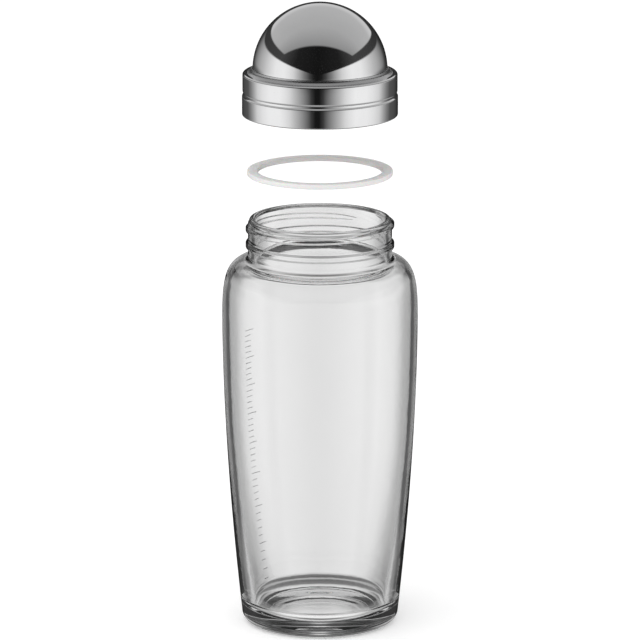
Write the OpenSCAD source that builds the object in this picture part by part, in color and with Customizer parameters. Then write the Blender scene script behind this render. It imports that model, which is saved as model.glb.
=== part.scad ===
// Salad dressing shaker: a thick glass bottle, a flat seal and a screw lid of polished steel.
// Sizes are in millimetres. The bottle stands on z = 0 and its axis is the Z axis.
// The lid and the seal are drawn lifted off, in line above the mouth. Turning the lid brings them down.

/* [Glass body] */
// Height of the glass from the table to the rim
bottle_h = 170; // [155:1:190]
// Widest diameter of the body
belly_d = 80.2; // [77:0.2:88]
// Diameter of the body just above its rounded heel
base_d = 64.6; // [60:0.2:72]
// Height from the widest circle up to the root of the neck
shoulder_h = 23.2; // [20:0.2:28]
// How strongly the side bows between heel and belly, where 1 is a straight cone
barrel_power = 1.78; // [1.4:0.02:2.2]
// Radius of the rounded heel
heel_r = 4.5; // [3:0.1:6]
// Thickness of the side wall over its upper half
wall_t = 2.7; // [2:0.1:3.6]
// Thickness of the side wall at the floor
base_wall_t = 5.2; // [4:0.1:6]
// Height from which the side wall thickens downwards
wall_swell_z = 90; // [60:1:110]
// How late the side wall thickens, where 1 is evenly
wall_power = 2.2; // [1:0.1:3]
// Height of the middle of the dished floor
floor_t = 4.2; // [3:0.2:6]
// Rise of the dished floor from its middle up to the side wall
dish_h = 7; // [5.6:0.2:9]
// Slope of the dish where it meets its corner
dish_slope = 35; // [25:1:45]
// Radius of the corner between the dish and the side wall
floor_corner_r = 3.5; // [2:0.1:5]
// Width of the flat ring that the bottle stands on
foot_ring_w = 2; // [1:0.1:3]
// Height of the hollow under the base
push_up = 1.4; // [0.6:0.1:2]

/* [Glass neck] */
// Outer diameter of the neck
neck_d = 58.9; // [56:0.1:62]
// Height from the root of the neck to the rim
neck_h = 17.2; // [16.4:0.1:20]
// How far the shoulder reaches out past the neck before it turns up
neck_root_w = 2; // [1.4:0.1:3]
// Thickness of the neck wall
neck_t = 3.05; // [2.6:0.05:3.6]
// How far the rim stands back from the neck
rim_step = 0.45; // [0.2:0.05:0.7]
// Radius of the edges of the rim
rim_edge_r = 1.2; // [0.4:0.05:1.25]
// How far the inside of the shoulder reaches out past the mouth
throat_w = 4; // [3:0.1:5]
// Height of the curve inside, from the shoulder into the mouth
throat_h = 5.5; // [4:0.1:6.5]
// Depth from the root of the neck to the foot of that curve
throat_drop = 3.2; // [2.6:0.1:4]
// Depth from the rim to the middle of the bead under the thread
bead_drop = 11; // [10:0.1:12]
// Height of the bead along the neck
bead_h = 3.2; // [1.8:0.1:3.4]

/* [Thread] */
// Rise of the thread in one turn
thread_lead = 4; // [3.6:0.1:4.6]
// How far the thread and the bead stand out from the neck
thread_depth = 0.95; // [0.8:0.05:1.15]
// Height of the glass ridge at its root
ridge_h = 2.4; // [1.8:0.1:2.6]
// Depth from the rim to the middle of the ridge
thread_drop = 4; // [3.6:0.1:4.6]
// Angle of the middle of the ridge, where 270 is the front
thread_middle = 225; // [200:5:270]
// Angle that the ridge runs around the neck
thread_sweep = 340; // [240:5:345]
// Angle over which each end of a ridge fades
thread_fade = 30; // [20:1:40]
// Height of the liner's own ridge at its root
lug_h = 1.6; // [1.3:0.1:1.8]
// How far the liner's ridge reaches in behind the glass ridge
thread_bite = 0.5; // [0.35:0.05:0.6]
// Gap between the two ridges along the axis
thread_play = 0.25; // [0.15:0.05:0.4]
// Gap between the glass ridge and the bore of the liner
thread_clearance = 0.25; // [0.2:0.05:0.4]

/* [Seal ring] */
// Thickness of the seal
seal_t = 2; // [1.4:0.1:2.6]
// Width of the flat of the seal
seal_w = 4.4; // [3.6:0.1:5.2]
// Radius of the seal's edges
seal_edge_r = 0.5; // [0.2:0.05:0.65]
// Gap between the seal and the liner's ridge that it passes
seal_clearance = 0.12; // [0.1:0.01:0.3]

/* [Lid] */
// Width of the flat between the dome and the upper band
ledge_w = 4.1; // [3.6:0.05:5]
// Thickness of the collar's top
ledge_t = 0.7; // [0.5:0.05:1]
// Height of the dome's centre above the ledge
dome_rise = 1.3; // [1:0.1:3]
// Thickness of the dome's sheet
dome_t = 0.6; // [0.4:0.05:1]
// Width of the flange that holds the dome under the ledge
flange_w = 3; // [2.2:0.1:3.2]
// Radius of the cove between the ledge and the dome
cove_r = 2; // [1.2:0.1:2.2]
// Thickness of the collar's lip around the dome
lip_t = 0.25; // [0.15:0.05:0.4]
// Gap between the dome and the collar
dome_clearance = 0.15; // [0.1:0.05:0.25]
// Thickness of the threaded liner
liner_t = 0.35; // [0.3:0.05:0.6]
// Thickness of the collar behind the groove
groove_floor_t = 0.22; // [0.2:0.02:0.5]
// Depth of the groove from the upper band
groove_depth = 0.3; // [0.1:0.05:0.6]
// How far the lower band stands out past the upper band
band_step = 0.2; // [0.1:0.05:0.4]
// Height of the upper band with its rounded lower edge
upper_band_h = 8.1; // [7:0.1:9]
// Height of the rounded lower edge of the upper band
band_round_h = 1.2; // [0.8:0.1:2]
// Height of the flat bottom of the groove
groove_h = 0.8; // [0.3:0.1:1.2]
// Height of the slope from the groove out to the lower band
slope_h = 0.3; // [0.2:0.05:1]
// Radius of the outer edge of the ledge
ledge_edge_r = 0.8; // [0.4:0.05:1]
// Radius of the edges of the lower band
edge_r = 0.5; // [0.2:0.05:0.6]
// Gap between the foot of the lid and the shoulder
skirt_gap = 2.3; // [1.5:0.1:3]
// How far the liner stops short of the collar's foot
liner_inset = 0.5; // [0.3:0.1:1.2]

/* [Lifted pieces] */
// How high the lid is drawn above its closed place
lid_lift = 57; // [50:1:80]
// How high the seal is drawn above its closed place
seal_lift = 18; // [12:0.5:24]

/* [Hidden] */
// Gap that keeps faces of two seated pieces just apart
seat_gap = 0.05;
// Gap between the liner and the collar that it is pressed into
press_gap = 0.02;
// How deep the root of the ridge lies inside the neck, so that the two are one solid
ridge_sink = 0.5;
// Steps in the curved stretches of an outline
curve_steps = 24;
arc_steps = 8;
// Angle between two rings of a ridge
ring_angle = 5;
// Facets of the round pieces
round_fn = 180;

neck_r = neck_d / 2;
crest_r = neck_r + thread_depth;
rim_r = neck_r - rim_step;
mouth_r = neck_r - neck_t;
neck_root_z = bottle_h - neck_h;
belly_z = neck_root_z - shoulder_h;
belly_r = belly_d / 2;
base_r = base_d / 2;
dish_z = floor_t + dish_h;
// The rim's edges can't be rounder than half of its width
rim_round = min(rim_edge_r, (neck_t - rim_step) / 2 - 0.02);

lug_r = crest_r - thread_bite;
liner_bore_r = crest_r + thread_clearance;
liner_r = liner_bore_r + liner_t;
collar_bore_r = liner_r + press_gap;
groove_r = collar_bore_r + groove_floor_t;
upper_r = groove_r + groove_depth;
lower_r = upper_r + band_step;
dome_r = upper_r - ledge_w;
flange_r = dome_r + flange_w;

// Heights of the closed lid, from the rim up
seal_z = bottle_h + seat_gap;
flange_z = seal_z + seal_t + seat_gap;
ledge_under_z = flange_z + dome_t + seat_gap;
ledge_z = ledge_under_z + ledge_t;
dome_z = ledge_z + dome_rise;
lip_z = ledge_z + cove_r;
skirt_z = neck_root_z + neck_root_w / 2 + skirt_gap;
ridge_z = bottle_h - thread_drop;
// The liner's ridge runs this far under the glass ridge
ridge_offset = (ridge_h + lug_h) / 2 * (1 - thread_bite / thread_depth / 2) + thread_play;

// Point at share t of a curve with ends a and d and handles b and c
function bezier(a, b, c, d, t) =
    pow(1 - t, 3) * a + 3 * t * pow(1 - t, 2) * b + 3 * t * t * (1 - t) * c + pow(t, 3) * d;

function curve(a, b, c, d) = [for (i = [0:curve_steps]) bezier(a, b, c, d, i / curve_steps)];

function arc(centre, rx, ry, from, to) =
    [for (i = [0:arc_steps]) let (a = from + (to - from) * i / arc_steps) centre + [rx * cos(a), ry * sin(a)]];

// Outer radius of the side at height z, between heel and belly
function side_r(z) = belly_r - (belly_r - base_r) * pow((belly_z - z) / (belly_z - heel_r), barrel_power);

// Thickness of the side wall at height z
function wall_at(z) =
    wall_t + (base_wall_t - wall_t) * pow(max(0, wall_swell_z - z) / (wall_swell_z - dish_z), wall_power);

// The side from height low up to the belly, where walls is 0 for its outer face and 1 for its inner face
function side(low, walls) =
    [for (i = [0:curve_steps]) let (z = low + (belly_z - low) * i / curve_steps) [side_r(z) - walls * wall_at(z), z]];

// Half a wave that stands out from radius r, around height z
function bead(r, z) =
    [for (i = [0:2 * arc_steps]) let (a = 180 * i / arc_steps)
        [r + thread_depth * (1 - cos(a)) / 2, z - bead_h / 2 + bead_h * i / arc_steps / 2]];

function reversed(list) = [for (i = [len(list) - 1:-1:0]) list[i]];

// Outline of the glass, up the outside and down the inside
function outside_of_glass() =
    let (foot_r = base_r - heel_r,
        ring_r = foot_r - foot_ring_w,
        root_r = neck_r + neck_root_w)
    concat(
        curve([0, push_up], [ring_r / 2, push_up], [ring_r * 0.9, push_up / 2], [ring_r, 0]),
        arc([foot_r, heel_r], heel_r, heel_r, -90, -8),
        side(heel_r, 0),
        curve([belly_r, belly_z], [belly_r, belly_z + shoulder_h * 0.6],
            [root_r + shoulder_h * 0.32, neck_root_z - shoulder_h * 0.05], [root_r, neck_root_z]),
        arc([root_r, neck_root_z + neck_root_w * 0.8], neck_root_w, neck_root_w * 0.8, -100, -180),
        bead(neck_r, bottle_h - bead_drop),
        [[neck_r, bottle_h - rim_round - rim_step * 2]],
        arc([rim_r - rim_round, bottle_h - rim_round], rim_round, rim_round, 0, 90));

function inside_of_glass() =
    let (corner_x = side_r(dish_z) - base_wall_t - floor_corner_r,
        corner = arc([corner_x, dish_z], floor_corner_r, floor_corner_r, dish_slope - 90, -8),
        handle = corner_x * 0.2 * [cos(dish_slope), sin(dish_slope)],
        throat_z = neck_root_z - throat_drop,
        throat_r = mouth_r + throat_w)
    concat(
        curve([0, floor_t], [corner_x * 0.74, floor_t], corner[0] - handle, corner[0]),
        corner,
        side(dish_z, 1),
        curve([belly_r - wall_t, belly_z], [belly_r - wall_t, belly_z + shoulder_h * 0.56],
            [throat_r + shoulder_h * 0.23, throat_z - 0.6], [throat_r, throat_z]),
        arc([throat_r, throat_z + throat_h], throat_w, throat_h, -100, -180),
        arc([mouth_r + rim_round, bottle_h - rim_round], rim_round, rim_round, 180, 90));

// One ridge of a thread, from the root radius out or in to the crest radius
module ridge(root, crest, height, z, sink) {
    out = crest > root ? 1 : -1;
    rings = ceil(thread_sweep / ring_angle);
    fade = thread_fade / ring_angle;
    section = [[-sink, 0.64], [0.7, 0.3], [1, 0.13], [1, -0.13], [0.7, -0.3], [-sink, -0.64]];
    n = len(section);
    points = [for (i = [0:rings]) let (
            a = thread_middle + thread_sweep * (i / rings - 0.5),
            rise = thread_lead * thread_sweep * (i / rings - 0.5) / 360,
            size = sin(90 * min(1, i / fade, (rings - i) / fade)))
        for (p = section) let (
            r = root + (p[0] < 0 ? out * p[0] : (crest - root) * (p[0] * size - (1 - size) * sink)))
            [r * cos(a), r * sin(a), z + rise - out * p[1] * height * (0.4 + 0.6 * size)]];
    sides = [for (i = [0:rings - 1], j = [0:n - 1]) let (
            a = i * n + j,
            b = i * n + (j + 1) % n)
        each [[a, b, b + n], [a, b + n, a + n]]];
    ends = [[for (j = [n - 1:-1:0]) j], [for (j = [0:n - 1]) rings * n + j]];
    polyhedron(points, concat(sides, ends), convexity = 6);
}

module glass_bottle() {
    color([0.86, 0.9, 0.9, 0.45])
    union() {
        rotate_extrude($fn = round_fn)
        polygon(concat(outside_of_glass(), reversed(inside_of_glass())));
        ridge(neck_r, crest_r, ridge_h, ridge_z, ridge_sink);
    }
}

module seal_ring() {
    outer_r = lug_r - seal_clearance;
    inner_r = outer_r - seal_w;
    e = seal_edge_r;
    color([0.95, 0.95, 0.94])
    translate([0, 0, seal_z + seal_lift])
    rotate_extrude($fn = round_fn)
    polygon(concat(
        arc([inner_r + e, e], e, e, 180, 270),
        arc([outer_r - e, e], e, e, -90, 0),
        arc([outer_r - e, seal_t - e], e, e, 0, 90),
        arc([inner_r + e, seal_t - e], e, e, 90, 180)));
}

// Solid of the dome's shape that is smaller by inset, from height low up
module dome_form(inset, low) {
    r = dome_r - inset;
    translate([0, 0, low])
    cylinder(r = r, h = dome_z - low, $fn = round_fn);
    intersection() {
        translate([0, 0, dome_z])
        sphere(r = r, $fn = round_fn);
        translate([0, 0, dome_z])
        cylinder(r = r + 1, h = r + 1);
    }
}

module dome_cap() {
    color([0.75, 0.76, 0.77])
    translate([0, 0, lid_lift])
    difference() {
        union() {
            dome_form(0, flange_z);
            translate([0, 0, flange_z])
            cylinder(r = flange_r, h = dome_t, $fn = round_fn);
        }
        dome_form(dome_t, flange_z - 1);
    }
}

module screw_collar() {
    lip_bore_r = dome_r + dome_clearance;
    lip_r = lip_bore_r + lip_t;
    groove_top = ledge_z - upper_band_h;
    groove_low = groove_top - groove_h;
    band_z = groove_low - slope_h;
    color([0.7, 0.71, 0.72])
    translate([0, 0, lid_lift])
    rotate_extrude($fn = round_fn)
    polygon(concat(
        [[collar_bore_r, skirt_z], [collar_bore_r, ledge_under_z], [lip_bore_r, ledge_under_z]],
        [[lip_bore_r, lip_z]],
        arc([lip_r + cove_r, ledge_z + cove_r], cove_r, cove_r, 180, 270),
        arc([upper_r - ledge_edge_r, ledge_z - ledge_edge_r], ledge_edge_r, ledge_edge_r, 90, 0),
        arc([groove_r, groove_top + band_round_h], groove_depth, band_round_h, 0, -90),
        [[groove_r, groove_low]],
        arc([lower_r - edge_r, band_z - edge_r], edge_r, edge_r, 50, 0),
        arc([lower_r - edge_r, skirt_z + edge_r], edge_r, edge_r, 0, -90)));
}

module thread_ring() {
    liner_z = skirt_z + liner_inset;
    color([0.93, 0.93, 0.92])
    translate([0, 0, lid_lift])
    rotate([0, 0, 360 * lid_lift / thread_lead])
    union() {
        difference() {
            translate([0, 0, liner_z])
            cylinder(r = liner_r, h = ledge_under_z - liner_z, $fn = round_fn);
            translate([0, 0, liner_z - 1])
            cylinder(r = liner_bore_r, h = ledge_under_z - liner_z + 2, $fn = round_fn);
        }
        ridge(liner_bore_r, lug_r, lug_h, ridge_z - ridge_offset, liner_t / 2);
    }
}

glass_bottle();
seal_ring();
dome_cap();
screw_collar();
thread_ring();
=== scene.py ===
# %% [markdown]
# # A salad dressing shaker in Blender
# The real object is a thick glass bottle, a flat white seal and a screw lid of polished steel with a
# domed top. The lid and the seal are shown lifted off, in line above the mouth. Nearly everything on it
# is round, so most pieces here are outlines turned about the Z axis. They could be modelled from
# cylinders and spheres, but an outline keeps every size in sight. The plain solids of the part are loaded
# first, as the frame to dress.

import math

import bpy
import numpy as np
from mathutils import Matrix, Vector


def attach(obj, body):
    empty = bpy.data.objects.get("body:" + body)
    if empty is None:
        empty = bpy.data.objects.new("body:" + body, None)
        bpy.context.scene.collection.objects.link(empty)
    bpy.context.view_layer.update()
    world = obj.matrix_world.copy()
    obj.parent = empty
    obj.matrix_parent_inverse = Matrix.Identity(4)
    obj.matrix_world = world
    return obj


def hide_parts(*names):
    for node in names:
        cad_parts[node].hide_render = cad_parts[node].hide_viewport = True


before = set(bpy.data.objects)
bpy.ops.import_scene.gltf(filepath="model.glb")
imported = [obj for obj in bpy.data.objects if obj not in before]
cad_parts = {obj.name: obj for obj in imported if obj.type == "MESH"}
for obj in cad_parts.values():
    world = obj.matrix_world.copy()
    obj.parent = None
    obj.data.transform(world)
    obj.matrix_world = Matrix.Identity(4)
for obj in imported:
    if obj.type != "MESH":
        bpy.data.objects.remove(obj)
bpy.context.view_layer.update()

# %% [markdown]
# ## Camera
# A product photograph like this is taken from far away with a long lens, so upright lines stay parallel.
# An orthographic camera could do that too, but the long lens keeps the little depth that a real one
# shows. The camera stands 2.4 m in front of the bottle and looks down at it by 13.6 degrees.

# %% Camera
LENS_MM, SENSOR_MM, CLIP_END = 337.4, 36.0, 60
camera_place = Vector((0, -2.391, 0.7037))
aim = Vector((0, 0, 0.127))
look = aim - camera_place

camera = bpy.data.objects.new("camera", bpy.data.cameras.new("camera"))
camera.data.lens = LENS_MM
camera.data.sensor_width = SENSOR_MM
camera.data.clip_end = CLIP_END
camera.location = camera_place
camera.rotation_mode = "QUATERNION"
camera.rotation_quaternion = look.to_track_quat("-Z", "Y")
bpy.context.scene.collection.objects.link(camera)
bpy.context.scene.camera = camera
print("camera looks down by", round(math.degrees(math.atan2(-look.z, look.y)), 1), "degrees")

# %% [markdown]
# ## Outlines
# An outline is a list of (radius, height) points in millimetres. It could be drawn by hand as a curve
# object, but here each stretch has its own small function: straight lines, short arcs for rounded
# corners, Bezier curves for the long sweeps, and later a power of the height for the slow swell of the
# glass side.


# %% Helpers for outlines
SAME_POINT = 1e-4


def arc(r, z, rx, rz, start, end, steps):
    """Points on a stretch of an ellipse about (r, z), with angles in degrees."""
    turn = [math.radians(start + (end - start) * i / steps) for i in range(steps + 1)]
    return [(r + rx * math.cos(a), z + rz * math.sin(a)) for a in turn]


def bezier(a, b, c, d, steps):
    """Points on a cubic curve from a to d with handles b and c."""
    points = []
    for i in range(steps + 1):
        t = i / steps
        weights = ((1 - t) ** 3, 3 * t * (1 - t) ** 2, 3 * t * t * (1 - t), t**3)
        points.append(tuple(sum(w * p[k] for w, p in zip(weights, (a, b, c, d))) for k in (0, 1)))
    return points


def straight(a, b, step):
    """Points from a to b no further apart than step, so that a surface can be shaped between them."""
    count = max(1, math.ceil(math.dist(a, b) / step))
    return [(a[0] + (b[0] - a[0]) * i / count, a[1] + (b[1] - a[1]) * i / count) for i in range(count + 1)]


def tidy(points):
    """The same points without repeats."""
    kept = [points[0]]
    for p in points[1:]:
        if math.dist(p, kept[-1]) > SAME_POINT:
            kept.append(p)
    return kept


print("a quarter circle in 8 steps has", len(arc(0, 0, 1, 1, 0, 90, 8)), "points")

# %% [markdown]
# ## Turning an outline
# Blender's Screw modifier can turn an outline too. Here the mesh is written point by point, because the
# thread has to swell out of the same surface: clear glass shows every inner face, so the ridge must not
# be a second mesh stuck onto the neck. A function shapes each point as it is placed.


# %% Helper that turns an outline into a mesh
MM = 0.001
ON_AXIS = 1e-6


def turned(name, outline, closed, steps, shape=None, crease=40):
    """Turns an outline about the Z axis into a mesh with sharp edges above the crease angle.

    An outline that isn't closed starts and ends on the axis. shape(radius, height, angle) moves each point.
    """
    outline = tidy(outline)
    if closed and math.dist(outline[0], outline[-1]) < SAME_POINT:
        outline.pop()
    verts, rings = [], []
    for r, z in outline:
        if r < ON_AXIS:
            rings.append([len(verts)] * steps)
            verts.append((0, 0, z * MM))
            continue
        rings.append(list(range(len(verts), len(verts) + steps)))
        for k in range(steps):
            a = 2 * math.pi * k / steps
            rr, zz = shape(r, z, a) if shape else (r, z)
            verts.append((rr * math.cos(a) * MM, rr * math.sin(a) * MM, zz * MM))
    faces = []
    for i in range(len(rings) if closed else len(rings) - 1):
        low, high = rings[i], rings[(i + 1) % len(rings)]
        for k in range(steps):
            n = (k + 1) % steps
            corners = [low[k], low[n], high[n], high[k]]
            corners = [c for j, c in enumerate(corners) if c != corners[j - 1]]
            faces.append(corners)
    mesh = bpy.data.meshes.new(name)
    mesh.from_pydata(verts, [], faces)
    mesh.shade_smooth()
    mesh.set_sharp_from_angle(angle=math.radians(crease))
    piece = bpy.data.objects.new(name, mesh)
    bpy.context.scene.collection.objects.link(piece)
    print(name, len(verts), "points,", [round(s / MM, 2) for s in piece.dimensions], "mm")
    return piece


# %% [markdown]
# ## The thread
# The ridge climbs 4 mm in a full turn and runs for 340 degrees, from the back round the left and the
# front to the right. Its crest is flat and its ends fade out, as pressed glass can't have a sharp start.
# It could be a profile swept along a helix, but a height over the surface melts into the neck without a
# seam. The liner of the lid has the same ridge turned inwards.

# %% The ridge as a height over the surface
LEAD, SWEEP, FADE, RIDGE_MIDDLE = 4.0, 340.0, 30.0, 225.0
CREST, END_WIDTH = 0.45, 0.4


def swell(distance, half):
    """Cross-section of a ridge: 1 over its flat crest, then a soft slope down to 0 at its feet."""
    x = min(1.0, max(0.0, (abs(distance) / half - CREST) / (1 - CREST)))
    return (1 + math.cos(math.pi * x)) / 2


def ridge_height(z, angle, middle, half, turned_by=0.0):
    """How far the ridge stands out at height z and angle, from 0 to 1."""
    around = (math.degrees(angle) - RIDGE_MIDDLE - turned_by + 180) % 360 - 180
    if abs(around) >= SWEEP / 2:
        return 0.0
    size = math.sin(math.radians(90 * min(1, (SWEEP / 2 - abs(around)) / FADE)))
    return size * swell(z - middle - LEAD * around / 360, half * (END_WIDTH + (1 - END_WIDTH) * size))


print("the ridge climbs", round(LEAD * SWEEP / 360, 2), "mm over", SWEEP, "degrees")

# %% [markdown]
# ## Glass bottle
# The side swells from a rounded heel to a belly 80 mm across, turns in over a soft shoulder and rises
# into a straight neck with a bead and the thread. A Solidify modifier would give one even wall, but this
# wall is 2.7 mm thick and grows to 5.2 mm at the bottom, which makes the broad dark edges there, so the
# inside has an outline of its own. The floor is a shallow bowl, and a hollow under it leaves a ring to
# stand on.

# %% Sizes of the glass
BELLY_R, BASE_R, BELLY_Z, HEEL_R, SIDE_POWER = 40.1, 32.3, 129.6, 4.5, 1.78
BOTTLE_H, NECK_R, NECK_STEP = 170.0, 29.45, 0.12
ROOT_Z, ROOT_W, ROOT_H = 152.8, 2.0, 1.6
MOUTH_R, RIM_R, RIM_EDGE, RIM_SLOPE = 26.4, 29.0, 1.2, 2.0
WALL, BASE_WALL, THICK_FROM, WALL_POWER = 2.7, 5.2, 90.0, 2.2
FLOOR_Z, CORNER_Z, CORNER_EDGE = 4.2, 11.2, 3.5
PUSH_UP, RING_W = 1.4, 2.0
THROAT_W, THROAT_H, THROAT_DROP = 4.0, 5.5, 3.2
FOOT_R = BASE_R - HEEL_R
RING_R = FOOT_R - RING_W
ROOT_R = NECK_R + ROOT_W
NECK_LOW, NECK_TOP, RIM_Z = ROOT_Z + ROOT_H, BOTTLE_H - RIM_SLOPE, BOTTLE_H - RIM_EDGE
THROAT_R, THROAT_Z = MOUTH_R + THROAT_W, ROOT_Z - THROAT_DROP


def side_radius(z):
    """Outer radius of the side between heel and belly."""
    return BELLY_R - (BELLY_R - BASE_R) * ((BELLY_Z - z) / (BELLY_Z - HEEL_R)) ** SIDE_POWER


def wall_at(z):
    """Thickness of the side wall, which grows downwards from THICK_FROM."""
    grown = (max(0.0, THICK_FROM - z) / (THICK_FROM - CORNER_Z)) ** WALL_POWER
    return WALL + (BASE_WALL - WALL) * grown


def side_heights(low, steps=60):
    """Even heights from low up to the belly."""
    return [low + (BELLY_Z - low) * i / steps for i in range(steps + 1)]


print("wall at 20, 60 and 100 mm:", [round(wall_at(z), 2) for z in (20, 60, 100)], "mm")

# %% Outline of the glass, first outside and then inside
hollow_handles = (RING_R / 2, PUSH_UP), (RING_R * 0.9, PUSH_UP / 2)
shoulder_handles = (BELLY_R, 143.52), (ROOT_R + 7.42, 151.64)
outside = (
    bezier((0, PUSH_UP), *hollow_handles, (RING_R, 0), 30)
    + arc(FOOT_R, HEEL_R, HEEL_R, HEEL_R, -90, -8, 16)
    + [(side_radius(z), z) for z in side_heights(HEEL_R)]
    + bezier((BELLY_R, BELLY_Z), *shoulder_handles, (ROOT_R, ROOT_Z), 48)
    + arc(ROOT_R, NECK_LOW, ROOT_W, ROOT_H, -100, -180, 12)
    + straight((NECK_R, NECK_LOW), (NECK_R, NECK_TOP), NECK_STEP)
    + straight((NECK_R, NECK_TOP), (RIM_R, RIM_Z), NECK_STEP)
    + arc(RIM_R - RIM_EDGE, RIM_Z, RIM_EDGE, RIM_EDGE, 0, 90, 8)
)
corner_r = side_radius(CORNER_Z) - BASE_WALL - CORNER_EDGE
corner = arc(corner_r, CORNER_Z, CORNER_EDGE, CORNER_EDGE, -55, -8, 12)
bowl_end = corner[0]
bowl_handles = (18, FLOOR_Z), (bowl_end[0] - 4.1, bowl_end[1] - 2.87)
inner_belly = (BELLY_R - WALL, BELLY_Z)
inner_handles = (BELLY_R - WALL, 142.6), (THROAT_R + 5.4, THROAT_Z - 0.6)
inside = (
    bezier((0, FLOOR_Z), *bowl_handles, bowl_end, 30)
    + corner
    + [(side_radius(z) - wall_at(z), z) for z in side_heights(CORNER_Z)]
    + bezier(inner_belly, *inner_handles, (THROAT_R, THROAT_Z), 48)
    + arc(THROAT_R, THROAT_Z + THROAT_H, THROAT_W, THROAT_H, -100, -180, 18)
    + arc(MOUTH_R + RIM_EDGE, RIM_Z, RIM_EDGE, RIM_EDGE, 180, 90, 8)
)
inside = tidy(inside)
glass_outline = tidy(outside) + inside[::-1]
print("outline of the glass:", len(glass_outline), "points")

# %% Turn the glass, with its bead and thread
RIDGE_OUT, RIDGE_Z, RIDGE_HALF = 0.95, 166.0, 1.35
BEAD_Z, BEAD_HALF = 159.0, 1.7
NEAR = 0.01
# Each wave has its height in mm, how often it goes up and down in a turn, and where it starts
WAVES = ((0.09, 2, 0.6), (0.07, 5, 2.2), (0.04, 9, 4.0))
WAVE_HALF = 9.0
inner_points = set(inside)


def glass_shape(r, z, angle):
    """Adds the bead and the ridge outside, and inside the throat the slow waves of pressed glass."""
    if r > RIM_R - NEAR and NECK_LOW < z < RIM_Z:
        out = max(swell(z - BEAD_Z, BEAD_HALF), ridge_height(z, angle, RIDGE_Z, RIDGE_HALF))
        return r + RIDGE_OUT * out, z
    if (r, z) in inner_points:
        wave = sum(size * math.sin(count * angle + start) for size, count, start in WAVES)
        return r + wave * swell(z - THROAT_Z, WAVE_HALF), z
    return r, z


bottle_glass = turned("bottle_glass", glass_outline, closed=False, steps=288, shape=glass_shape, crease=60)
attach(bottle_glass, "bottle")
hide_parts("glass_bottle")

# %% [markdown]
# ## Printed scale
# Fine marks run up the back left of the glass, one for each 10 ml and a longer one for each 50 ml. They
# stand where the inside of this bottle holds that much, which is why they are closer together where it is
# wide. A mask in the glass material could draw them, but a mark is then as fuzzy as its mask. Here each
# one is a very thin strip of ink that follows the curve of the glass.

# %% Where each 10 ml ends
MARK_ML, LONG_MARK_ML, TOP_ML = 10, 50, 400
heights = np.linspace(FLOOR_Z, BELLY_Z, 4000)
inner_r = np.interp(heights, [z for r, z in inside], [r for r, z in inside])
held_ml = np.concatenate([[0], np.cumsum(np.pi * inner_r[1:] ** 2 * np.diff(heights))]) / 1000
marks = [(ml, float(np.interp(ml, held_ml, heights))) for ml in range(MARK_ML, TOP_ML + MARK_ML, MARK_ML)]
print("marks for 10, 200 and 400 ml at", [round(marks[i][1], 1) for i in (0, 19, 39)], "mm")

# %% The marks as one mesh of thin strips
SCALE_ANGLE, MARK_H = 143.5, 0.24
SHORT_HALF, LONG_HALF = 3.0, 4.6  # half the length of a mark, in degrees round the bottle
INK_LOW, INK_HIGH = 0.004, 0.03  # where the ink starts and ends over the glass
STRIP_POINTS = 9
last = STRIP_POINTS - 1
mark_verts, mark_faces = [], []
for ml, z in marks:
    half_turn = LONG_HALF if ml % LONG_MARK_ML == 0 else SHORT_HALF
    first = SCALE_ANGLE + SHORT_HALF - 2 * half_turn
    at = len(mark_verts)
    for ink in (INK_LOW, INK_HIGH):
        for level in (-MARK_H / 2, MARK_H / 2):
            for k in range(STRIP_POINTS):
                a = math.radians(first + 2 * half_turn * k / last)
                r = side_radius(z + level) + ink
                mark_verts.append((r * math.cos(a) * MM, r * math.sin(a) * MM, (z + level) * MM))
    starts = [at + STRIP_POINTS * n for n in range(4)]
    inner_low, inner_high, outer_low, outer_high = (list(range(s, s + STRIP_POINTS)) for s in starts)
    for k in range(last):
        mark_faces.append((outer_low[k], outer_low[k + 1], outer_high[k + 1], outer_high[k]))
        mark_faces.append((inner_low[k], inner_high[k], inner_high[k + 1], inner_low[k + 1]))
        mark_faces.append((inner_low[k], inner_low[k + 1], outer_low[k + 1], outer_low[k]))
        mark_faces.append((inner_high[k], outer_high[k], outer_high[k + 1], inner_high[k + 1]))
    for k in (0, last):
        end = (inner_low[k], outer_low[k], outer_high[k], inner_high[k])
        mark_faces.append(end if k == 0 else end[::-1])
scale_mesh = bpy.data.meshes.new("volume_marks")
scale_mesh.from_pydata(mark_verts, [], mark_faces)
volume_marks = bpy.data.objects.new("volume_marks", scale_mesh)
bpy.context.scene.collection.objects.link(volume_marks)
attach(volume_marks, "bottle")
print(len(marks), "marks printed")

# %% [markdown]
# ## Seal ring
# A flat ring of white silicone lies on the rim under the lid. A torus could stand in for it, but the
# ring's section is a flat rectangle with soft corners, and four short arcs are all that its outline
# needs.

# %% Turn the seal
SEAL_OUT, SEAL_IN, SEAL_T, SEAL_EDGE = 29.78, 25.38, 2.0, 0.5
SEAL_GAP, SEAL_LIFT = 0.05, 18.0
seal_low = BOTTLE_H + SEAL_GAP + SEAL_LIFT


def seal_corner(r, z, start):
    """A quarter circle about (r, z)."""
    return arc(r, z, SEAL_EDGE, SEAL_EDGE, start, start + 90, 8)


seal_outline = (
    seal_corner(SEAL_IN + SEAL_EDGE, seal_low + SEAL_EDGE, 180)
    + seal_corner(SEAL_OUT - SEAL_EDGE, seal_low + SEAL_EDGE, -90)
    + seal_corner(SEAL_OUT - SEAL_EDGE, seal_low + SEAL_T - SEAL_EDGE, 0)
    + seal_corner(SEAL_IN + SEAL_EDGE, seal_low + SEAL_T - SEAL_EDGE, 90)
)
seal = turned("silicone_seal", seal_outline, closed=True, steps=256, crease=70)
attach(seal, "seal")
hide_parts("seal_ring")

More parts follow.
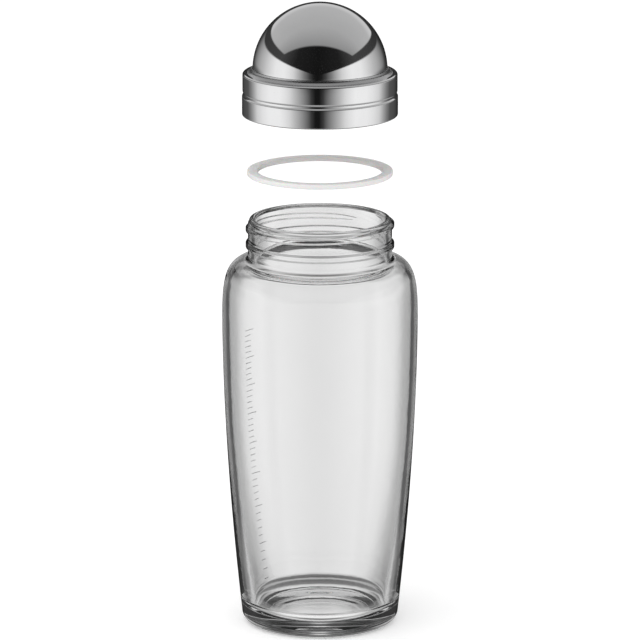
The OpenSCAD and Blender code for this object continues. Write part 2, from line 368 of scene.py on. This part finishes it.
# %% [markdown]
# ## Domed top of the lid
# The dome is pressed from one sheet of steel: half a sphere with a short straight foot and a flange that
# lies under the collar's ledge. Half of a UV sphere would show its facets, because mirror polish hides
# nothing, so the outline has a point for each degree or so and gives the sheet its real thickness too.

# %% Turn the dome
LID_LIFT = 57.0
DOME_R, SHEET_T, FLANGE_R, FLANGE_EDGE = 27.44, 0.6, 30.44, 0.1
FLANGE_Z, DOME_Z = 172.10 + LID_LIFT, 174.75 + LID_LIFT
dome_inner, flange_top = DOME_R - SHEET_T, FLANGE_Z + SHEET_T
dome_outline = (
    arc(0, DOME_Z, dome_inner, dome_inner, 90, 0, 72)
    + [(dome_inner, FLANGE_Z), (FLANGE_R - FLANGE_EDGE, FLANGE_Z), (FLANGE_R, FLANGE_Z + FLANGE_EDGE)]
    + [(FLANGE_R, flange_top - FLANGE_EDGE), (FLANGE_R - FLANGE_EDGE, flange_top), (DOME_R, flange_top)]
    + arc(0, DOME_Z, DOME_R, DOME_R, 0, 90, 96)
)
dome_outline[0] = (0, DOME_Z + dome_inner)
dome_outline[-1] = (0, DOME_Z + DOME_R)
dome = turned("steel_dome", dome_outline, closed=False, steps=288)
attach(dome, "lid_dome")
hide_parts("dome_cap")

# %% [markdown]
# ## Collar of the lid
# The collar is turned from steel. From the top down it has a cove that runs up to the dome, a flat ledge,
# an upper band whose lower edge rounds in to a narrow groove, a short slope and a slightly wider lower
# band. It could be stacked from rings with a Bevel modifier, but the steps are tenths of a millimetre,
# and one outline holds each of them exactly.

# %% Turn the collar
COLLAR_BORE, GROOVE_R, UPPER_R, LOWER_R = 31.02, 31.24, 31.54, 31.74
LEDGE_Z, LEDGE_UNDER = 173.45 + LID_LIFT, 172.75 + LID_LIFT
SKIRT_Z = 156.1 + LID_LIFT
LIP_BORE, LIP_R, COVE = DOME_R + 0.15, DOME_R + 0.40, 2.0
LEDGE_EDGE, BAND_EDGE, GROOVE_EDGE = 0.8, 0.5, 1.2
UPPER_H, GROOVE_H, SLOPE_H = 8.1, 0.8, 0.3
groove_top = LEDGE_Z - UPPER_H
groove_low = groove_top - GROOVE_H
band_z = groove_low - SLOPE_H
collar_outline = (
    [(COLLAR_BORE, SKIRT_Z), (COLLAR_BORE, LEDGE_UNDER)]
    + [(LIP_BORE, LEDGE_UNDER), (LIP_BORE, LEDGE_Z + COVE)]
    + arc(LIP_R + COVE, LEDGE_Z + COVE, COVE, COVE, 180, 270, 14)
    + arc(UPPER_R - LEDGE_EDGE, LEDGE_Z - LEDGE_EDGE, LEDGE_EDGE, LEDGE_EDGE, 90, 0, 12)
    + arc(GROOVE_R, groove_top + GROOVE_EDGE, UPPER_R - GROOVE_R, GROOVE_EDGE, 0, -90, 12)
    + [(GROOVE_R, groove_low)]
    + arc(LOWER_R - BAND_EDGE, band_z - BAND_EDGE, BAND_EDGE, BAND_EDGE, 50, 0, 8)
    + arc(LOWER_R - BAND_EDGE, SKIRT_Z + BAND_EDGE, BAND_EDGE, BAND_EDGE, 0, -90, 10)
)
collar = turned("steel_collar", collar_outline, closed=True, steps=288, crease=25)
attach(collar, "lid_collar")
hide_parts("screw_collar")

# %% [markdown]
# ## Threaded liner
# A thin ring of white plastic is pressed into the collar, and its ridge runs under the ridge of the neck.
# A plain tube would do for the eye, as little of it shows, but then the lid would have nothing to screw
# with. It is turned from the same helix, a quarter turn on, because the lid stands 14.25 turns above its
# closed place.

# %% Turn the liner
LINER_R, LINER_BORE, LINER_EDGE, LINER_STEP = 31.0, 30.65, 0.1, 0.22
LINER_Z, LINER_TURN = SKIRT_Z + 0.5, 90.0
LUG_R, LUG_HALF, LUG_DROP = 29.9, 0.85, 1.72
LUG_Z = RIDGE_Z - LUG_DROP + LID_LIFT
liner_outline = (
    straight((LINER_BORE, LINER_Z + LINER_EDGE), (LINER_BORE, LEDGE_UNDER - LINER_EDGE), LINER_STEP)
    + [(LINER_BORE + LINER_EDGE, LEDGE_UNDER), (LINER_R, LEDGE_UNDER)]
    + [(LINER_R, LINER_Z), (LINER_BORE + LINER_EDGE, LINER_Z)]
)


def liner_shape(r, z, angle):
    """Lets the ridge stand inwards from the bore."""
    if r < LINER_BORE + NEAR:
        return r - (LINER_BORE - LUG_R) * ridge_height(z, angle, LUG_Z, LUG_HALF, LINER_TURN), z
    return r, z


liner = turned("threaded_liner", liner_outline, closed=True, steps=240, shape=liner_shape, crease=60)
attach(liner, "lid_collar")
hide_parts("thread_ring")

# %% [markdown]
# ## Fine unevenness, shared by all finishes
# No real surface is perfectly even. Each material could have noises of its own, but one node group with a
# slow wander and a fine grain serves them all at different scales: as ripples in the glass, as haze in
# the polish and as grain in the plastics.


# %% Node group with a slow wander and a fine grain
def unevenness_group():
    """Two noises mixed and spread to a mask, which also picks a value and a colour between two limits."""
    group = bpy.data.node_groups.new("unevenness", "ShaderNodeTree")
    for name, kind, default in (
        ("Wander Scale", "NodeSocketFloat", 60.0),
        ("Grain Scale", "NodeSocketFloat", 900.0),
        ("Low", "NodeSocketFloat", 0.0),
        ("High", "NodeSocketFloat", 1.0),
        ("Dark", "NodeSocketColor", (0.8, 0.8, 0.8, 1)),
        ("Light", "NodeSocketColor", (0.9, 0.9, 0.9, 1)),
    ):
        socket = group.interface.new_socket(name, in_out="INPUT", socket_type=kind)
        socket.default_value = default
    for name, kind in (("Mask", "Float"), ("Value", "Float"), ("Color", "Color")):
        group.interface.new_socket(name, in_out="OUTPUT", socket_type="NodeSocket" + kind)
    nodes, links = group.nodes, group.links
    given, result = nodes.new("NodeGroupInput"), nodes.new("NodeGroupOutput")
    place = nodes.new("ShaderNodeTexCoord")
    wander, grain = nodes.new("ShaderNodeTexNoise"), nodes.new("ShaderNodeTexNoise")
    both, spread = nodes.new("ShaderNodeMix"), nodes.new("ShaderNodeMapRange")
    value, tint = nodes.new("ShaderNodeMapRange"), nodes.new("ShaderNodeMix")
    tint.data_type = "RGBA"
    wander.inputs["Detail"].default_value = 2.0
    grain.inputs["Detail"].default_value = 4.0
    both.inputs["Factor"].default_value = 0.35
    spread.inputs["From Min"].default_value = 0.3
    spread.inputs["From Max"].default_value = 0.7
    for start, end in (
        (place.outputs["Object"], wander.inputs["Vector"]),
        (place.outputs["Object"], grain.inputs["Vector"]),
        (given.outputs["Wander Scale"], wander.inputs["Scale"]),
        (given.outputs["Grain Scale"], grain.inputs["Scale"]),
        (wander.outputs["Fac"], both.inputs["A"]),
        (grain.outputs["Fac"], both.inputs["B"]),
        (both.outputs["Result"], spread.inputs["Value"]),
        (spread.outputs["Result"], result.inputs["Mask"]),
        (spread.outputs["Result"], value.inputs["Value"]),
        (given.outputs["Low"], value.inputs["To Min"]),
        (given.outputs["High"], value.inputs["To Max"]),
        (value.outputs["Result"], result.inputs["Value"]),
        (spread.outputs["Result"], tint.inputs["Factor"]),
        (given.outputs["Dark"], tint.inputs["A"]),
        (given.outputs["Light"], tint.inputs["B"]),
        (tint.outputs["Result"], result.inputs["Color"]),
    ):
        links.new(start, end)
    return group


unevenness = unevenness_group()
print("node group", unevenness.name, "with", len(unevenness.nodes), "nodes")


# %% Helpers that start a material from the group and put it on pieces
def finish_of(name, wander, grain, rough, dark, light, bump, **plain):
    """A Principled material whose colour and roughness come from the group.

    wander and grain are the scales of the noises, rough, dark and light the limits that they move between,
    bump is the strength and the depth in mm, and plain holds the shader's other values.
    """
    material = bpy.data.materials.new(name)
    material.use_nodes = True
    nodes, links = material.node_tree.nodes, material.node_tree.links
    shader = nodes["Principled BSDF"]
    uneven = nodes.new("ShaderNodeGroup")
    uneven.node_tree = unevenness
    for socket, value in (
        ("Wander Scale", wander), ("Grain Scale", grain), ("Low", rough[0]), ("High", rough[1]),
        ("Dark", (*dark, 1)), ("Light", (*light, 1)),
    ):
        uneven.inputs[socket].default_value = value
    links.new(uneven.outputs["Color"], shader.inputs["Base Color"])
    links.new(uneven.outputs["Value"], shader.inputs["Roughness"])
    relief = nodes.new("ShaderNodeBump")
    relief.inputs["Strength"].default_value = bump[0]
    relief.inputs["Distance"].default_value = bump[1] * MM
    links.new(uneven.outputs["Mask"], relief.inputs["Height"])
    links.new(relief.outputs["Normal"], shader.inputs["Normal"])
    for socket, value in plain.items():
        shader.inputs[socket.replace("_", " ")].default_value = value
    return material


def put_on(material, *objects):
    """Gives every object this material and no other."""
    for o in objects:
        o.data.materials.clear()
        o.data.materials.append(material)
        print(material.name, "on", o.name)


# %% [markdown]
# ## Clear glass
# Soda-lime glass bends light with an index of 1.5 and takes a little of it away on long paths, which is
# why the edges of a thick bottle look darker than its middle. A grey surface colour would darken all of
# it alike, so the Volume Absorption node does it by path length, here by about 4 parts in 1000 for each
# millimetre. Faint ripples in the surface keep the reflections from looking like plastic.

# %% Material of the glass
ABSORB_GREY, ABSORB_DENSITY = 0.5, 8.0
clear_glass = finish_of(
    "clear_glass", wander=55.0, grain=160.0, rough=(0.0, 0.012), dark=(0.988, 0.988, 0.988),
    light=(0.998, 0.998, 0.998), bump=(0.35, 0.06), Transmission_Weight=1.0, IOR=1.5,
)
glass_nodes, glass_links = clear_glass.node_tree.nodes, clear_glass.node_tree.links
absorb = glass_nodes.new("ShaderNodeVolumeAbsorption")
absorb.inputs["Color"].default_value = (ABSORB_GREY, ABSORB_GREY, ABSORB_GREY, 1)
absorb.inputs["Density"].default_value = ABSORB_DENSITY
glass_links.new(absorb.outputs["Volume"], glass_nodes["Material Output"].inputs["Volume"])
put_on(clear_glass, bottle_glass)

# %% [markdown]
# ## Ink, silicone and plastic
# The scale is fired onto the glass in dark grey. The seal is white silicone, which lets a little light
# into itself. A plain white would look like chalk, so it gets some subsurface. The liner is satin moulded
# plastic. All three start from the shared unevenness, with a finer grain than the glass has.

# %% Materials of the ink, the seal and the liner
ink = finish_of(
    "scale_ink", wander=400.0, grain=4000.0, rough=(0.5, 0.7), dark=(0.20, 0.20, 0.205),
    light=(0.30, 0.30, 0.305), bump=(0.2, 0.01),
)
silicone = finish_of(
    "white_silicone", wander=120.0, grain=2600.0, rough=(0.38, 0.52), dark=(0.86, 0.86, 0.855),
    light=(0.92, 0.92, 0.915), bump=(0.25, 0.03), Subsurface_Weight=0.25, Subsurface_Scale=0.002, IOR=1.41,
)
plastic = finish_of(
    "white_plastic", wander=150.0, grain=3200.0, rough=(0.34, 0.46), dark=(0.80, 0.80, 0.78),
    light=(0.86, 0.86, 0.84), bump=(0.2, 0.03), IOR=1.5,
)
put_on(ink, volume_marks)
put_on(silicone, seal)
put_on(plastic, liner)

# %% [markdown]
# ## Polished and turned steel
# Mirror polish is never quite even: buffing leaves a faint haze. One fixed roughness would look like
# chrome paint, so it wanders between two low values. The cove under the dome is turned and not polished,
# and gets a satin finish by its faces. Nearly all of the look of such metal is what it reflects, and that
# is the job of the studio below.

# %% Material of the polished steel
steel = finish_of(
    "polished_steel", wander=90.0, grain=2400.0, rough=(0.035, 0.06), dark=(0.80, 0.80, 0.805),
    light=(0.84, 0.84, 0.845), bump=(0.08, 0.01), Metallic=1.0,
)
put_on(steel, dome, collar)

# %% Satin on the cove, which is every face above the ledge
satin = finish_of(
    "turned_steel", wander=90.0, grain=2400.0, rough=(0.22, 0.30), dark=(0.52, 0.52, 0.525),
    light=(0.58, 0.58, 0.585), bump=(0.08, 0.01), Metallic=1.0,
)
collar.data.materials.append(satin)
cove_faces = [face for face in collar.data.polygons if face.center.z > (LEDGE_Z + 2 * NEAR) * MM]
for face in cove_faces:
    face.material_index = 1
print(satin.name, "on", len(cove_faces), "faces of the cove")

# %% [markdown]
# ## Studio
# The surroundings are white for the camera. What the steel and the glass see is a studio, which could be
# built from real walls and lamps. Here it is painted on the world by direction, as a photograph of a room
# could be wrapped round it, but with a few ramps: no wall can cast a stray shadow, and an edge is moved by
# changing a number.


# %% Helpers for small node sums in the world
world = bpy.data.worlds.new("studio")
bpy.context.scene.world = world
world.use_nodes = True
wn, wl = world.node_tree.nodes, world.node_tree.links
wn.clear()


def feed(socket, value):
    """Sets a socket to a number, or links it to another node's output."""
    if isinstance(value, (int, float)):
        socket.default_value = value
    else:
        wl.new(value, socket)


def sum_node(kind, *values):
    """A Math node over numbers and outputs."""
    node = wn.new("ShaderNodeMath")
    node.operation = kind
    for socket, value in zip(node.inputs, values):
        feed(socket, value)
    return node.outputs[0]


def soft_step(value, start, end):
    """0 up to start and 1 from end on, with a soft edge between them."""
    node = wn.new("ShaderNodeMapRange")
    node.interpolation_type = "SMOOTHSTEP"
    for name, x in (("Value", value), ("From Min", start), ("From Max", end)):
        feed(node.inputs[name], x)
    return node.outputs["Result"]


def ramp(value, stops):
    """Grey levels over a value from 0 to 1; stops are (position, level)."""
    node = wn.new("ShaderNodeValToRGB")
    wl.new(value, node.inputs["Fac"])
    points = node.color_ramp.elements
    while len(points) < len(stops):
        points.new(1.0)
    for point, (position, level) in zip(points, stops):
        point.position = position
        point.color = (level, level, level, 1)
    return node.outputs["Color"]


def blend_grey(share, low, high):
    """low where share is 0, high where it is 1."""
    low_part = sum_node("MULTIPLY", sum_node("SUBTRACT", 1.0, share), low)
    return sum_node("ADD", low_part, sum_node("MULTIPLY", share, high))


def split(vector):
    """The X, Y and Z of a direction."""
    parts = wn.new("ShaderNodeSeparateXYZ")
    wl.new(vector, parts.inputs["Vector"])
    return parts.outputs["X"], parts.outputs["Y"], parts.outputs["Z"]


def degrees_round(x, y):
    """Angle from straight behind the bottle, from 0 to 180 on either side, as a share of 180."""
    return sum_node("DIVIDE", sum_node("ABSOLUTE", sum_node("ARCTAN2", x, y)), math.pi)


def by_degrees(stops, low=0.0):
    """Stops given in degrees, for a ramp over the 180 degrees from low on."""
    return [((d - low) / 180.0, level) for d, level in stops]


# %% Directions, as seen in a studio that is turned a little to the right for the steel
STUDIO_TURN, LEAST = 4.0, 0.001
straight_on = wn.new("ShaderNodeTexCoord").outputs["Generated"]
turn = wn.new("ShaderNodeVectorRotate")
turn.rotation_type = "Z_AXIS"
turn.inputs["Angle"].default_value = math.radians(STUDIO_TURN)
wl.new(straight_on, turn.inputs["Vector"])
x, y, z = split(turn.outputs["Vector"])
across, rise = sum_node("ABSOLUTE", x), sum_node("MAXIMUM", z, LEAST)
up = sum_node("MULTIPLY", sum_node("ARCSINE", z), 180 / math.pi)
up_share = sum_node("ADD", 0.5, sum_node("DIVIDE", up, 180.0))
turn_share = degrees_round(x, y)
print("world nodes for the directions:", len(wn))

# %% [markdown]
# ## What the steel sees
# Photographers light a mirror by what stands round it. The steel sees a dim soft ceiling, which is the
# calm grey on the dome, long bright side walls with the dark room behind the camera between them, which
# give the collar its light and dark columns, a dark gap between walls and ceiling, and a grey ground. The
# ceiling is flat, so its edges are found from how far across and to the front a direction meets it.

# %% What the steel sees
CEILING_SIDE, CEILING_BACK, CEILING_FRONT = (2.08, 1.90), (-0.86, -0.74), (4.2, 3.0)
WALL_TOP, WALL_FOOT, GROUND_EDGE = (0.297, 0.247), (-10.3, -5.0), (-17.0, -26.0)
RAMP_BACK, RAMP_DEPTH = 1.0, 5.0
walls = ramp(turn_share, by_degrees([
    (18, 0.02), (28, 0.06), (38, 0.20), (48, 0.32), (60, 0.45), (72, 0.57), (88, 0.78), (102, 0.95),
    (120, 0.98), (129, 0.90), (138, 0.76), (147, 0.50), (157, 0.22), (166, 0.06), (173, 0.014),
    (180, 0.008),
]))
walls_below = ramp(turn_share, by_degrees([
    (18, 0.03), (32, 0.07), (50, 0.10), (60, 0.24), (68, 0.42), (78, 0.74), (90, 0.90), (103, 1.0),
    (122, 1.0), (131, 0.90), (138, 0.79), (146, 0.58), (155, 0.38), (163, 0.21), (171, 0.05),
    (177, 0.010),
]))
walls = blend_grey(soft_step(up, *WALL_FOOT), walls_below, walls)
gap = ramp(turn_share, by_degrees([(0, 0.03), (70, 0.05), (110, 0.06), (140, 0.015), (180, 0.008)]))
side_reach, front_reach = sum_node("DIVIDE", across, rise), sum_node("DIVIDE", y, rise)
ceiling = ramp(sum_node("DIVIDE", sum_node("ADD", front_reach, RAMP_BACK), RAMP_DEPTH), [
    (0.04, 0.30), (0.14, 0.40), (0.20, 0.46), (0.334, 0.50), (0.486, 0.52), (0.60, 0.62), (0.80, 0.68),
])
ceiling_share = sum_node(
    "MULTIPLY", soft_step(side_reach, *CEILING_SIDE), soft_step(front_reach, *CEILING_BACK)
)
ceiling_share = sum_node("MULTIPLY", ceiling_share, soft_step(front_reach, *CEILING_FRONT))
wall_share = soft_step(sum_node("DIVIDE", z, sum_node("MAXIMUM", across, LEAST)), *WALL_TOP)
steel_sees = blend_grey(ceiling_share, blend_grey(wall_share, gap, walls), ceiling)
ground = ramp(up_share, by_degrees([(-90, 0.10), (-50, 0.26), (-20, 0.50)], low=-90.0))
steel_sees = blend_grey(soft_step(up, *GROUND_EDGE), steel_sees, ground)
print("world nodes with the steel's studio:", len(wn))

# %% [markdown]
# ## What the glass sees
# Clear glass has no look of its own: the dark lines along its edges are dark places in the room, which
# the thick wall bends round to the camera. One grey for the whole room would leave the bottle flat, so
# the glass has a studio of its own. It is bright straight behind, darkest at 28 to 37 degrees to either
# side and bright again from 60 degrees on. Lower and higher directions have strips of their own, because
# the base and the neck bend light from there, and a last ramp dims whole heights, such as 15 to 20
# degrees up. The price is that a camera about 30 degrees round looks right at a dark stretch, and sees the
# clear glass as smoked.

# %% What the glass sees
gx, gy = split(straight_on)[:2]
glass_share = degrees_round(gx, gy)
panels = ramp(glass_share, by_degrees([
    (0, 0.78), (3, 0.86), (6, 0.78), (10, 0.53), (20, 0.35), (25, 0.26), (28, 0.10), (37, 0.11),
    (42, 0.40), (50, 0.60), (60, 0.80), (102, 0.90), (107, 0.5), (118, 0.5), (124, 0.9), (144, 0.95),
    (158, 0.95),
]))
panels_below = ramp(glass_share, by_degrees([
    (6, 0.78), (10, 0.15), (20, 0.12), (28, 0.38), (36, 0.42), (41, 0.74), (60, 0.78), (71, 0.35),
    (82, 0.35), (92, 0.9),
]))
panels_above = ramp(glass_share, by_degrees([
    (0, 0.95), (2, 0.90), (4, 0.58), (6, 0.30), (12, 0.20), (16, 0.12), (20, 0.07), (28, 0.07),
    (36, 0.42), (60, 0.8), (75, 1.0),
]))
panel_low = ramp(glass_share, by_degrees([(0, 0.26), (4, 0.34), (9, 1.0)]))
# Each edge is given in degrees up: where it starts, where it ends and what lies beyond it
field = panels
for edge_start, edge_end, beyond in (
    (-21.0, -27.0, panels_below),
    (-27.0, -32.0, panel_low),
    (-43.0, -47.0, 1.0),
    (-3.0, 5.0, panels_above),
    (20.0, 25.0, 1.0),
):
    field = blend_grey(soft_step(up, edge_start, edge_end), field, beyond)
heights_share = ramp(up_share, by_degrees([
    (-90, 0.95), (-75, 1.0), (-60, 0.92), (-54, 0.72), (-48, 0.48), (-44, 0.42), (-40, 0.42), (-36, 0.46),
    (-32, 0.58), (-28, 0.76), (-24, 0.90), (-20, 1.0), (-9, 1.0), (0, 0.94), (13, 0.90), (15.5, 0.14),
    (19, 0.08), (22, 0.40), (30, 0.55), (50, 0.62),
], low=-90.0))
glass_sees = sum_node("MULTIPLY", field, heights_share)
print("world nodes with the glass's studio:", len(wn))

# %% White for the camera, the studio for steel and glass, plain light for the rest
AMBIENT = 0.78
path = wn.new("ShaderNodeLightPath").outputs
light = blend_grey(path["Is Glossy Ray"], AMBIENT, steel_sees)
light = blend_grey(path["Is Transmission Ray"], light, glass_sees)
light = blend_grey(path["Is Camera Ray"], light, 1.0)
background, out = wn.new("ShaderNodeBackground"), wn.new("ShaderNodeOutputWorld")
wl.new(light, background.inputs["Strength"])
wl.new(background.outputs["Background"], out.inputs["Surface"])
background.inputs["Color"].default_value = (1, 1, 1, 1)
print("world nodes in all:", len(wn))

# %% [markdown]
# ## Floor and lamp
# The bottle stands on a pale floor that takes its shadow. A curved backdrop could hide the floor's far
# edge, but a very wide floor does too, and steel and glass look through it at the studio. A little glow,
# seen by the camera alone, lifts it to white. A single large lamp from above and to the left shades the
# seal softly.

# %% Floor
FLOOR_HALF, FLOOR_DROP, FLOOR_GREY, FLOOR_GLOW = 15.0, 0.0002, 0.93, 0.28
floor_corners = [(i * FLOOR_HALF, j * FLOOR_HALF, 0) for i, j in ((-1, -1), (1, -1), (1, 1), (-1, 1))]
floor_mesh = bpy.data.meshes.new("floor")
floor_mesh.from_pydata(floor_corners, [], [(0, 1, 2, 3)])
floor = bpy.data.objects.new("floor", floor_mesh)
floor.location.z = -FLOOR_DROP
bpy.context.scene.collection.objects.link(floor)
print("floor", 2 * FLOOR_HALF, "m wide")

# %% Material of the floor: matt with a glow for the camera, and clear for steel and glass
pale = bpy.data.materials.new("pale_floor")
pale.use_nodes = True
pn, pl = pale.node_tree.nodes, pale.node_tree.links
pn.clear()
matt, glow = pn.new("ShaderNodeBsdfDiffuse"), pn.new("ShaderNodeEmission")
clear, pale_out = pn.new("ShaderNodeBsdfTransparent"), pn.new("ShaderNodeOutputMaterial")
lit, choose = pn.new("ShaderNodeAddShader"), pn.new("ShaderNodeMixShader")
floor_path = pn.new("ShaderNodeLightPath").outputs
boost, either = pn.new("ShaderNodeMath"), pn.new("ShaderNodeMath")
boost.operation, either.operation = "MULTIPLY", "MAXIMUM"
matt.inputs["Color"].default_value = (FLOOR_GREY, FLOOR_GREY, FLOOR_GREY, 1)
boost.inputs[1].default_value = FLOOR_GLOW
for start, end in (
    (floor_path["Is Camera Ray"], boost.inputs[0]),
    (boost.outputs[0], glow.inputs["Strength"]),
    (matt.outputs[0], lit.inputs[0]),
    (glow.outputs[0], lit.inputs[1]),
    (floor_path["Is Glossy Ray"], either.inputs[0]),
    (floor_path["Is Transmission Ray"], either.inputs[1]),
    (either.outputs[0], choose.inputs["Fac"]),
    (lit.outputs[0], choose.inputs[1]),
    (clear.outputs[0], choose.inputs[2]),
    (choose.outputs[0], pale_out.inputs["Surface"]),
):
    pl.new(start, end)
put_on(pale, floor)

# %% Lamp, which lights the matt pieces and is never seen itself
LAMP_SIZE, LAMP_WATTS = (2.2, 1.8), 12
lamp_aim = Vector((0, 0, 0.15))
lamp_data = bpy.data.lights.new("soft_lamp", "AREA")
lamp_data.shape = "RECTANGLE"
lamp_data.size, lamp_data.size_y = LAMP_SIZE
lamp_data.energy = LAMP_WATTS
lamp = bpy.data.objects.new("soft_lamp", lamp_data)
lamp.location = (-0.45, -0.6, 1.8)
lamp.rotation_mode = "QUATERNION"
lamp.rotation_quaternion = (lamp_aim - lamp.location).to_track_quat("-Z", "Y")
lamp.visible_glossy = lamp.visible_transmission = lamp.visible_camera = False
bpy.context.scene.collection.objects.link(lamp)
bpy.context.scene.view_settings.view_transform = "Standard"
print("lamp of", lamp_data.energy, "W")
